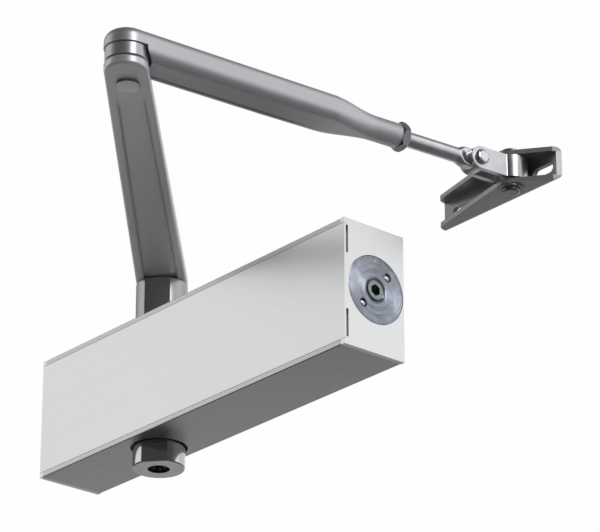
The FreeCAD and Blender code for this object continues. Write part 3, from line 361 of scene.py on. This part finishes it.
# Pieces whose finish differs from others of their slot; the end plates' streaks stand upright
end_sheet = brushed("end_plate_brushed", (0.82, 0.82, 0.825), (700.0, 900.0, 5.0), 0.30,
                    depth=8e-7, contrast=0.6)
own_finishes = {
    "end_plate_right": end_sheet,
    "end_plate_left": end_sheet,
    # The upper boss is the lower boss's turned steel with a darker colour: painted shade under the arm
    "upper_boss": turned("upper_boss_turned_shaded", (0.50, 0.50, 0.495), SPINDLE, Z, 0.30, 0.38,
                         pitch=2.0e-4, depth=2.5e-5),
    # The arms' paint is darkened by painted shade where their masks say
    "main_arm": painted_arm("main_arm_silver", (0.70, 0.705, 0.725), 0.60, SPINDLE, MAIN_ARM_HEADING, panel_painted_shade),
    "forearm": painted_arm("forearm_silver", (0.63, 0.635, 0.655), 0.72, ELBOW, FOREARM_HEADING, lip_painted_shade),
    "elbow_spacer": silver_paint("spacer_silver", (0.56, 0.565, 0.58), 0.36, 0.8),
    "shoe_bracket": folded_sheet("shoe_bronze_folded", (0.33, 0.325, 0.315), 0.32, SHOE_MIDDLE, FLANGE_INNER),
    "lock_nut": zinc_plate("nut_zinc", (0.47, 0.48, 0.50), 0.26),
    "shoe_pin": zinc_plate("pin_dark", (0.30, 0.30, 0.30), 0.24),
    "shoe_washers": silver_paint("washer_bronze", (0.30, 0.295, 0.285), 0.34, 0.8),
}

for part in frame["record"]["subparts"]:
    mesh = nodes[part["node"]].data
    mesh.materials.clear()
    mesh.materials.append(own_finishes.get(part["node"]) or finishes[part["material_slot"]])


# Camera, where a fit to the body's corners puts the photographer: below, in front and to the right
turn, rise = 0.8634, 0.4188  # radians
reach = 1.5881  # from the eye to the body's middle
focal_pixels, picture_width = 3314.81, 600.0
pixels_aside, pixels_up = 55.92, 105.66  # from the body's middle to the picture's
ahead = Vector((-math.sin(turn) * math.cos(rise), math.cos(turn) * math.cos(rise), math.sin(rise)))
aside = Vector((math.cos(turn), math.sin(turn), 0.0))
upward = aside.cross(ahead)
pixel = reach / focal_pixels
eye = -reach * ahead + pixels_aside * pixel * aside + pixels_up * pixel * upward
looking = Matrix((aside, upward, -ahead)).transposed()
camera = bpy.data.objects.new("camera", bpy.data.cameras.new("camera"))
camera.data.sensor_width = 36.0
camera.data.lens = camera.data.sensor_width * focal_pixels / picture_width
camera.data.clip_end = 20.0
camera.matrix_world = Matrix.Translation(eye) @ looking.to_4x4()
bpy.context.scene.collection.objects.link(camera)
bpy.context.scene.camera = camera


def towards(azimuth, height):
    """A direction by its azimuth from +X and its height, in degrees."""
    a, h = math.radians(azimuth), math.radians(height)
    return (math.cos(a) * math.cos(h), math.sin(a) * math.cos(h), math.sin(h))


WHITE = (1.0, 1.0, 1.0, 1.0)
SOFT_WHITE = (0.985, 0.99, 1.0, 1.0)

# Soft walls of the studio: azimuth, height, full within, none beyond, added strength
BASE_STRENGTH = 0.29
WALLS = (
    (75.0, 10.0, 40.0, 66.0, 0.44),
    (40.6, 24.0, 8.0, 24.0, 0.30),
    (-178.0, 0.0, 10.0, 40.0, 0.08),
    (-75.0, 15.0, 35.0, 75.0, -0.23),
)
# The pale table beyond the object, in the same terms
TABLE = (139.4, -24.0, 10.0, 28.0, 0.25)
# Upward part of a direction over which the light rises from its share below, and over which it falls overhead
BELOW, SHARE_BELOW = (-0.42, -0.05), 0.28
OVERHEAD, LOSS_OVERHEAD = (0.62, 0.85), 0.7

# The bowl that metal mirrors: its grid, and its opening to the white beyond the object, in degrees
BOWL_STEP = 5.0
OPENING_TURN = (115.0, 135.0)
OPENING_RISE = (0.0, 50.0)


def patch(tree, way, azimuth, lift, near, far, gain):
    """Added strength around one direction."""
    facing = tree.dot(way, towards(azimuth, lift))
    return facing.between(math.cos(math.radians(far)), math.cos(math.radians(near))) * gain


def studio_light(tree, way):
    """Brightness in a direction: soft walls beyond the object, dim below the table and overhead."""
    upward_part = tree.part_of(way, Z)
    walls = sum((patch(tree, way, *wall) for wall in WALLS), BASE_STRENGTH)
    low = SHARE_BELOW + upward_part.between(*BELOW) * (1.0 - SHARE_BELOW)
    high = 1.0 - upward_part.between(*OVERHEAD) * LOSS_OVERHEAD
    return walls * low * high + patch(tree, way, *TABLE)


def studio_world():
    """White to the eye, in metal and through glass, and soft walls for the light itself."""
    world = bpy.data.worlds.new("studio")
    bpy.context.scene.world = world
    world.cycles.sampling_method = "NONE"
    tree = Tree(world)
    way = tree.node("ShaderNodeTexCoord", {}, out=GENERATED)
    soft = tree.node("ShaderNodeBackground", {}, SOFT_WHITE, studio_light(tree, way))
    plain = tree.node("ShaderNodeBackground", {}, WHITE, 0.99)
    tree.node("ShaderNodeOutputWorld", {}, tree.mix(tree.seen(), soft, plain))


def placed(name, points, faces, material):
    """A sheet or bowl of the studio, in the scene."""
    mesh = bpy.data.meshes.new(name)
    mesh.from_pydata(points, [], faces)
    mesh.materials.append(material)
    thing = bpy.data.objects.new(name, mesh)
    bpy.context.scene.collection.objects.link(thing)
    return thing


def studio_walls():
    """Walls, ceiling and low table that metal mirrors, open to the white beyond the object.

    A bowl: azimuth and height give a point on a sphere of one radius, with every point below the
    table's level lifted to it. The faces of the opening are left out.
    """
    radius, table = 2.6, -0.28
    azimuth, height = np.meshgrid(np.radians(np.arange(0.0, 361.0, BOWL_STEP)),
                                  np.radians(np.arange(-90.0, 91.0, BOWL_STEP)))
    points = radius * np.stack((np.cos(azimuth) * np.cos(height), np.sin(azimuth) * np.cos(height),
                                np.sin(height)), axis=-1)
    points[..., 2] = np.maximum(points[..., 2], table)
    rows, columns = azimuth.shape
    corner = (np.arange(rows - 1)[:, None] * columns + np.arange(columns - 1)).ravel()
    faces = np.stack((corner, corner + 1, corner + columns + 1, corner + columns), axis=-1)
    middle_turn = np.degrees(azimuth).ravel()[corner] + BOWL_STEP / 2
    middle_rise = np.degrees(height).ravel()[corner] + BOWL_STEP / 2
    opening = ((middle_turn > OPENING_TURN[0]) & (middle_turn < OPENING_TURN[1])
               & (middle_rise > OPENING_RISE[0]) & (middle_rise < OPENING_RISE[1]))
    material, tree = new_material("studio_walls")
    material.cycles.emission_sampling = "NONE"
    way = tree.vector("NORMALIZE", tree.place())
    glow = tree.node("ShaderNodeEmission", {}, SOFT_WHITE, studio_light(tree, way))
    tree.output(tree.mix(tree.ray(GLOSSY_RAY), tree.clear(), glow))
    walls = placed("studio_walls", points.reshape(-1, 3).tolist(), faces[~opening].tolist(), material)


def lamp(name, azimuth, height, distance, width, tall, power):
    """A soft box that looks at the object."""
    light = bpy.data.lights.new(name, "AREA")
    light.shape = "RECTANGLE"
    light.size, light.size_y, light.energy = width, tall, power
    holder = bpy.data.objects.new(name, light)
    middle = Vector((0.05, -0.05, 0.02))
    way = Vector(towards(azimuth, height))
    facing = way.to_track_quat("Z", "Y").to_matrix().to_4x4()
    holder.matrix_world = Matrix.Translation(middle + way * distance) @ facing
    bpy.context.scene.collection.objects.link(holder)


def card(name, corners, strength):
    """A lit white card beside the object: a flat sheet that the plates mirror and the eye never sees."""
    material, tree = new_material(name)
    glow = tree.node("ShaderNodeEmission", {}, WHITE, strength)
    tree.output(tree.mix(tree.ray(CAMERA_RAY), glow, tree.clear()))
    sheet = placed(name, corners, [(0, 1, 2, 3)], material)


def floor():
    """A pale floor under the object, seen from above only.

    To the eye it is part lit, so that it is pale and still keeps a shadow.
    """
    spread, level, lit_share = 4.0, -0.30, 0.6
    corners = [(-spread, -spread, level), (spread, -spread, level), (spread, spread, level),
               (-spread, spread, level)]
    material, tree = new_material("floor_pale")
    material.cycles.emission_sampling = "NONE"
    speck = tree.grain(40.0, detail=3.0)
    pale = tree.node("ShaderNodeBsdfDiffuse", {}, tree.blend(speck, (0.93, 0.93, 0.93), (0.95, 0.95, 0.95)))
    lit = tree.node("ShaderNodeEmission", {}, WHITE, 0.97)
    above = tree.mix(tree.seen() * lit_share, pale, lit)
    behind = tree.node("ShaderNodeNewGeometry", {}, out=BACKFACING)
    tree.output(tree.mix(behind, above, tree.clear()))
    plane = placed("floor", corners, [(0, 1, 2, 3)], material)


studio_world()
studio_walls()
lamp("key_right", -6.0, 30.0, 1.6, 0.25, 0.9, 7.0)
card("card_left", [(-0.30, -0.95, 0.10), (-0.30, -0.10, -0.10), (-0.30, -0.10, 0.16), (-0.30, -0.95, 1.05)],
     0.90)
floor()

bpy.context.scene.view_settings.view_transform = "Standard"
